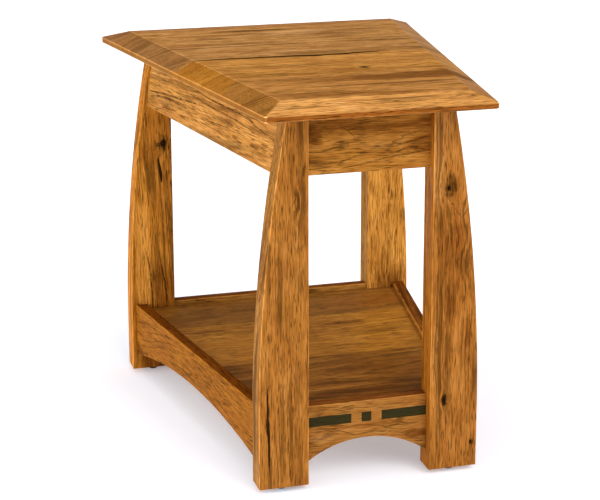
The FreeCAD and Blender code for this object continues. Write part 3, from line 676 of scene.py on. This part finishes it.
# Aprons and arched rails: grain along their length
sideSlope = 86 / 542       # the sides of the table run apart by 86 mm over 542 mm
pointedGrain = {"wiggle": 4.0, "dark": 0.8}
aprons = {
    "ApronFront": {
        "node": "apron_front", "seed": 10, "tone": "#ac702a", "pith": (545, -360),
        "tilt": (0.02, 0.05), "streakShare": 1.2, "mottleShare": 0.95,
        "marks": [
            {"at": onFront(-92, 563), "size": (16, 12, 40), "shade": -0.6, "ragged": 1.8},
            {"at": onFront(-80, 552), "size": (9, 5, 40), "shade": -0.4, "ragged": 1.8},
            {"at": onFront(-43, 545), "size": (10, 5, 40), "swirl": 6.0, "halo": 0.35},
            {"at": onFront(95, 539), "size": (34, 14, 40), "swirl": 10.0, "shade": -0.35, "blush": 0.25},
            # painted shadow of the top's overhang along the apron's upper edge
            {"at": onFront(0, 577), "size": (120, 11, 40), "shade": -0.38}],
        "lines": [traced(onFront, points, **pointedGrain) for points in (
            [(-93, 534, 1.0), (-69, 537, 1.2), (-56, 541, 1.4), (-47, 544, 1.6), (-41, 546.5, 1.4),
             (-33, 544, 0.4)],
            [(26, 532, 0.6), (45, 539, 1.6), (74, 545, 1.8), (95, 550, 1.8)],
            [(26, 531.5, 0.6), (39, 528, 1.2), (58, 533, 1.2), (92, 538, 1.5)],
            [(60, 537, 0.4), (77, 532, 1.2), (95, 528, 1.4)],
            [(-44, 508, 0.5), (-25, 511, 1.1), (-6, 514, 1.2), (32, 521, 1.2), (68, 525, 1.2),
             (95, 526, 1.0)],
            [(-90, 521, 0.8), (-60, 518, 1.1), (-20, 526, 0.9), (5, 531, 0.4)],
            [(-40, 570, 0.4), (-31, 564, 1.1), (-22, 556, 0.4)])]},
    "ApronBack": {"node": "apron_back", "seed": 11, "tone": "#a36a2b", "pith": (545, 200),
                  "tilt": (0.0, 0.04)},
    "ApronLeft": {
        "node": "apron_left", "seed": 12, "tone": "#b37a34", "pith": (400, 60),
        "along": (-sideSlope, 1, 0), "tilt": (0.02, 0.02), "lineSpacing": 7.0, "lineStrength": 0.5,
        "mottleShare": 0.7, "streakShare": 0.7, "rippleSize": 2.5, "poreLength": 26.0,
        "marks": [{"at": at, "size": size, "shade": shade, "ragged": 1.7} for at, size, shade in (
            ((-211, 172, 516), (34, 4, 40), -0.6), ((-195, 78, 524), (20, 3.0, 40), -0.5),
            ((-200, 99, 513), (16, 3.0, 40), -0.5), ((-164, -117, 525), (11, 3, 40), -0.5),
            ((-151, -194, 527), (18, 3.4, 40), -0.55), ((-145, -229, 536), (11, 2.8, 40), -0.6),
            ((-166, -85, 543), (22, 2.5, 40), -0.5), ((-179, -20, 528), (16, 2.5, 40), -0.4))],
        "lines": [
            strand(onLeftApron, [(262, 575), (206, 574), (150, 572), (90, 571)], 1.0),
            strand(onLeftApron, [(240, 548), (190, 554), (150, 556)]),
            strand(onLeftApron, [(130, 552), (80, 557), (30, 558)]),
            strand(onLeftApron, [(20, 541), (-50, 540), (-120, 536), (-170, 530)]),
            strand(onLeftApron, [(-60, 572), (-130, 572), (-200, 566), (-240, 560)]),
            {"path": [((-228, 272, 528), 1.2), ((-211, 192, 536), 1.8), ((-197, 108, 542), 1.7),
                      ((-187, 49, 546), 1.0), ((-172, -30, 549), 0.3)]},
            {"path": [((-224, 262, 519), 0.9), ((-215, 206, 529), 2.0), ((-204, 140, 533), 1.4),
                      ((-190, 60, 535), 0.3)]},
            {"path": [((-187, 63, 566), 0.9), ((-171, -37, 564), 1.5), ((-156, -132, 564), 1.7),
                      ((-147, -198, 556), 1.5), ((-142, -240, 551), 0.9)]},
            {"path": [((-195, 90, 557), 0.3), ((-175, -10, 553), 1.4), ((-160, -105, 552), 1.4),
                      ((-148, -185, 545), 0.4)]}]},
    "ApronRight": {"node": "apron_right", "seed": 13, "tone": "#b37b34", "pith": (540, 80),
                   "along": (sideSlope, 1, 0), "tilt": (0.0, 0.03)},
}
rails = {
    "RailFront": {
        "node": "rail_front", "seed": 24, "tone": "#a0692d", "pith": (30, -360), "mottleShare": 0.5,
        "lineSpacing": 7.0,
        "marks": [{"at": onFront(-82, 125), "size": (20, 5, 40), "shade": -0.4, "ragged": 1.0},
                  {"at": onFront(0, 90), "size": (80, 4, 40), "shade": -0.1, "blush": 0.2},
                  {"at": onFront(83, 67), "size": (22, 7, 40), "shade": -0.5, "ragged": 1.2},
                  {"at": onFront(-75, 74), "size": (18, 8, 40), "shade": 0.3, "ragged": 0.8}],
        "lines": [strand(onFront, *trace) for trace in (
            ([(-92, 92), (-75, 92), (-53, 88), (-32, 81), (-19, 76), (-4, 77), (29, 80)],),
            ([(-17, 92), (3, 90), (19, 87), (36, 82), (53, 77), (69, 77)],),
            ([(-74, 88), (-63, 88), (-55, 84), (-50, 78)],),
            ([(-92, 46), (-71, 56), (-57, 64), (-50, 76)],),
            ([(9, 79), (29, 71), (41, 75), (56, 71), (72, 64)],),
            ([(34, 97), (52, 90), (69, 85), (91, 84)],),
            ([(-60, 120), (-30, 122), (5, 119), (40, 121), (85, 119)], 0.7))]},
    "RailBack": {"node": "rail_back", "seed": 15, "tone": "#a36d2b", "pith": (75, 200), "tilt": (0.0, 0.04)},
    "RailLeft": {
        "node": "rail_left", "seed": 31, "tone": "#8f5510", "pith": (40, -40), "tilt": (0.02, 0.06),
        "along": (-sideSlope, 1, 0), "waveSize": 24.0, "lineStrength": 0.2, "bandShare": 0.4,
        "streakShare": 0.3, "blushShare": 0.1, "brushShare": 0.35, "mottleShare": 0.4,
        "marks": [{"at": (-255, 262, 48), "size": (22, 7, 40), "shade": -0.6},
                  # painted highlight on the rail's bend
                  {"at": (-223, 62, 96), "size": (30, 16, 40), "shade": 0.2, "ragged": 0.6}],
        "lines": [strand(onLeftRail, *trace) for trace in (
            ([(271, 55), (198, 74), (141, 92), (97, 103), (56, 108)], 1.0),
            ([(270, 69), (210, 81), (147, 101), (97, 112), (60, 117)], 1.0),
            ([(268, 84), (209, 98), (145, 114), (100, 122)], 0.9),
            ([(262, 100), (221, 112), (157, 124)], 0.9),
            ([(271, 45), (238, 51)], 0.9),
            ([(120, 80), (99, 79), (70, 82), (41, 84), (0, 78), (-40, 70)], 1.0),
            ([(60, 98), (46, 96), (0, 92), (-60, 80), (-130, 64), (-190, 50)], 1.0),
            ([(30, 106), (-34, 101), (-78, 90), (-109, 82), (-151, 73), (-215, 57)], 1.1),
            ([(15, 114), (-57, 109), (-110, 99), (-162, 90), (-240, 70)], 1.0),
            ([(0, 120), (-57, 116), (-110, 107), (-162, 99), (-212, 91), (-246, 83)], 1.1),
            ([(-60, 124), (-110, 116), (-162, 111), (-213, 106), (-247, 101)], 1.0),
            ([(-130, 125), (-190, 120), (-247, 114)], 0.9))]},
    "RailRight": {"node": "rail_right", "seed": 17, "tone": "#9d6424", "pith": (60, 120),
                  "along": (sideSlope, 1, 0), "tilt": (0.0, 0.04)},
}
# painted shade on the rails' tops under the table top, and painted highlights on rounded and chamfered
# arrises
memberPaintedLight = {"railTop": (-0.35, -0.5, -0.6), "railTopBelow": 200, "arris": (0.4, 0.4, 0.35),
               "chamfersFrom": 100}
apronEasing = {"width": 1.0, "below": 500, "over": 100}     # the two long arrises at the bottom
# all arrises of a rail but the upright ones and the level ones at the feet of the arch
railEasing = {"width": 0.35, "feetBelow": 44, "over": 1.2, "upright": 0.8}


def apronEdge(a, b):
    low = apronEasing["below"]
    return a.z < low and b.z < low and (a - b).length > apronEasing["over"]


def railEdge(a, b):
    length = (a - b).length
    atFeet = (a.z + b.z) / 2 < railEasing["feetBelow"] and abs(a.z - b.z) < 1
    upright = abs(a.z - b.z) >= railEasing["upright"] * length
    return not atFeet and not upright and length > railEasing["over"]


# painted light and shade for each face of an apron or rail
def paintMemberFaces(normal, middle, eased):
    if normal.z > facing["slanted"][1] and middle.z < memberPaintedLight["railTopBelow"]:
        return memberPaintedLight["railTop"]
    chamfered = isSlanted(normal.z) and middle.z > memberPaintedLight["chamfersFrom"]
    return memberPaintedLight["arris"] if eased or chamfered else (0, 0, 0)


for group, slot, rule, easedBy in ((aprons, "apron_wood", apronEdge, apronEasing),
                                   (rails, "rail_wood", railEdge, railEasing)):
    for name, board in group.items():
        piece = easedPiece(name, board["node"], easedBy["width"], rule, paintMemberFaces, 2)
        dress(piece, makeHickory("Hickory" + name, {"across": (0, 0, 1), **board}))
print("aprons and rails done")

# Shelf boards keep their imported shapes
shelfLook = {"mottleShare": 0.6, "lineStrength": 0.35, "roughness": 0.4, "gloss": 0.2}
shelfBoards = {
    "shelf_board_front": {
        "seed": 18, "tone": "#8f591a", "pith": (-160, 20), "tilt": (0, 0.04),
        "mottleShare": 1.1, "streakShare": 1.6, "lineStrength": 0.6,
        # painted shadow along the shelf's front, next to the front rail
        "marks": [{"at": onShelf(10, -245), "size": (160, 22, 30), "shade": -0.4, "ragged": 1.2},
                  {"at": onShelf(-40, -190), "size": (60, 8, 30), "shade": -0.3, "ragged": 1.2},
                  {"at": onShelf(60, -170), "size": (50, 9, 30), "shade": 0.2, "ragged": 1.2}],
        "lines": [traced(onShelf, [(-70, -212, 0.4), (-20, -216, 1.4), (30, -210, 1.4), (80, -213, 0.4)],
                         wiggle=6.0)]},
    "shelf_board_middle": {
        "seed": 19, "tone": "#b47625", "pith": (40, 10), "tilt": (0, 0.04), "brushShare": 0.9,
        "fineShare": 1.6,
        "marks": [{"at": onShelf(88, 97), "size": (34, 8, 30), "shade": -0.6},
                  {"at": onShelf(-160, 113), "size": (40, 8, 30), "shade": -0.5}]},
    "shelf_board_back": {
        "seed": 20, "tone": "#976220", "pith": (210, 15), "tilt": (0, -0.04),
        "marks": [{"at": onShelf(170, 200), "size": (90, 60, 30), "shade": 0.1, "blush": 0.35}]},
}
for name, board in shelfBoards.items():
    dress(nodes[name], makeHickory("HickoryShelf" + name.split("_")[-1].title(), {**shelfLook, **board}))

# Soft maple for what is out of sight: pale, close-grained and left unstained
innerWood = makeHickory("SoftMaple", {
    "tone": "#c79a63", "inked": "#7a5228", "lineStrength": 0.25, "poreStrength": 0.2,
    "streakShare": 0.5, "fineShare": 0.5, "mottleShare": 0.4, "blushShare": 0.0, "roughness": 0.6,
    "seed": 21})
dressAll(("shelf_cleat", "corner_block", "top_buttons"), innerWood)

# Inlays: ebonised wood, scraped flush and lacquered with the rail, nearly black with an olive cast
inlays = {"color": "#332c0f", "pore": "#221d08", "roughness": 0.5, "gloss": 0.06,
          "grain": (14.0, 0.8, 0.8), "depth": 0.03}
material, tree = newMaterial("EbonisedWoodInlay")
spot = addNode(tree, "TexCoord", {}, out=3)
spot = addNode(tree, "Mapping", {"Vector": spot, "Scale": [1 / mm / s for s in inlays["grain"]]})
fleck = addNode(tree, "TexNoise", {"Vector": spot, "Scale": 1.0, "Detail": 2.0})
fleck = addNode(tree, "MapRange", {"Value": fleck, "From Min": 0.4, "From Max": 0.7})
color = addNode(tree, "Mix", {0: fleck, 6: toLinear(inlays["color"]), 7: toLinear(inlays["pore"])},
                out=2, data_type="RGBA")
bump = addNode(tree, "Bump", {"Height": fleck, "Distance": inlays["depth"] * mm, "Strength": 0.5})
surface = addNode(tree, "BsdfPrincipled", {"Base Color": color, "Roughness": inlays["roughness"],
                                           "Normal": bump, "Specular IOR Level": inlays["gloss"]})
addNode(tree, "OutputMaterial", {"Surface": surface})
dressAll(("inlay_",), material)

# Glides: moulded nylon, matt and nearly black, with a faint texture from the mould
glides = {"color": "#0a0d09", "cloud": "#151a13", "cloudSize": 1.2, "detail": 3.0, "roughness": 0.5,
          "gloss": 0.15, "depth": 0.05}
material, tree = newMaterial("MouldedNylonGlide")
grit, color = clouded(tree, glides)
bump = addNode(tree, "Bump", {"Height": grit, "Distance": glides["depth"] * mm, "Strength": 0.6})
surface = addNode(tree, "BsdfPrincipled", {"Base Color": color, "Roughness": glides["roughness"],
                                           "Normal": bump, "Specular IOR Level": glides["gloss"]})
addNode(tree, "OutputMaterial", {"Surface": surface})
dressAll(("glide_",), material)

# Screws: zinc-plated steel, rolled and tumbled, a bright grey with slight clouding
screws = {"color": "#b9b4a6", "cloud": "#8f8a7c", "cloudSize": 3.0, "detail": 3.0, "roughness": (0.25, 0.45)}
material, tree = newMaterial("ZincPlatedSteelScrew")
cloud, color = clouded(tree, screws)
rough = addNode(tree, "MapRange", {"Value": cloud, "To Min": screws["roughness"][0],
                                   "To Max": screws["roughness"][1]})
surface = addNode(tree, "BsdfPrincipled", {"Base Color": color, "Roughness": rough, "Metallic": 1.0})
addNode(tree, "OutputMaterial", {"Surface": surface})
dressAll(("_screws",), material)
print("small pieces done")

# Floor: white translucent paper on a table lit from below, which keeps the shadows light
floorLook = {"size": 60.0, "color": "#f0f2f8", "cloud": "#eceef5", "cloudSize": 25.0, "detail": 2.0,
             "glow": 0.31}
bpy.ops.object.select_all(action="DESELECT")
bpy.ops.mesh.primitive_plane_add(size=floorLook["size"], location=(0, 0, 0))
floor = bpy.context.object
floor.name = "Floor"
material, tree = newMaterial("WhitePaper")
paper = clouded(tree, floorLook)[1]
surface = addNode(tree, "BsdfPrincipled", {"Base Color": paper, "Roughness": 0.9, "Specular IOR Level": 0.1,
                                           "Emission Color": paper, "Emission Strength": floorLook["glow"]})
addNode(tree, "OutputMaterial", {"Surface": surface})
dress(floor, material)

# Light: a bright even room, a soft key from the front right, and a strong lamp on the left that is nearly
# level with the table, so that it leaves the floor alone. Each comes from an azimuth and a height in degrees.
lights = {
    "Key": {"from": (20, 42), "strength": 1.2, "spread": 34},
    "Left": {"from": (-90, 3), "strength": 3.6, "spread": 40},
}
# A dark screen behind the table, out of the picture, keeps the glossy flats from washing out. It is darkest
# within core degrees of its middle and ends at reach.
room = {"light": 1.0, "dark": 0.12, "screen": (0.273, 0.927, 0.257), "core": 30, "reach": 60}
for name, light in lights.items():
    azimuth, elevation = (math.radians(v) for v in light["from"])
    bpy.ops.object.light_add(type="SUN", location=(0, 0, 3))
    lamp = bpy.context.object
    lamp.name = name
    toward = Vector((math.sin(azimuth) * math.cos(elevation), -math.cos(azimuth) * math.cos(elevation),
                     math.sin(elevation)))
    lamp.rotation_euler = toward.to_track_quat("Z", "Y").to_euler()
    lamp.data.energy = light["strength"]
    lamp.data.angle = math.radians(light["spread"])
world = bpy.data.worlds.new("Room")
bpy.context.scene.world = world
world.use_nodes = True
tree = world.node_tree
toScreen = addNode(tree, "VectorMath", {0: addNode(tree, "TexCoord", {}),
                                        1: Vector(room["screen"]).normalized()},
                   out=1, operation="DOT_PRODUCT")
level = addNode(tree, "MapRange", {
    "Value": toScreen, "From Min": math.cos(math.radians(room["reach"])),
    "From Max": math.cos(math.radians(room["core"])), "To Min": room["light"], "To Max": room["dark"]},
    interpolation_type="SMOOTHSTEP")
tree.links.new(level, tree.nodes["Background"].inputs["Strength"])
tree.nodes["Background"].inputs["Color"].default_value = toLinear("#ffffff")

# Camera: a long lens from the front left, a little above the top
cameraView = {"place": (-815.2, -2768.0, 1157.2), "tilt": 75.12, "turn": -16.41,
              "sensor": 36, "lens": 106.48, "shift": (-0.0227, -0.0932), "farthest": 100}
bpy.ops.object.camera_add(location=[v * mm for v in cameraView["place"]],
                          rotation=(math.radians(cameraView["tilt"]), 0, math.radians(cameraView["turn"])))
camera = bpy.context.object
camera.data.sensor_width = cameraView["sensor"]
camera.data.lens = cameraView["lens"]
camera.data.shift_x, camera.data.shift_y = cameraView["shift"]
camera.data.clip_end = cameraView["farthest"]
bpy.context.scene.camera = camera
bpy.context.scene.view_settings.view_transform = "Standard"   # white paper stays white
print("floor, light and camera done")
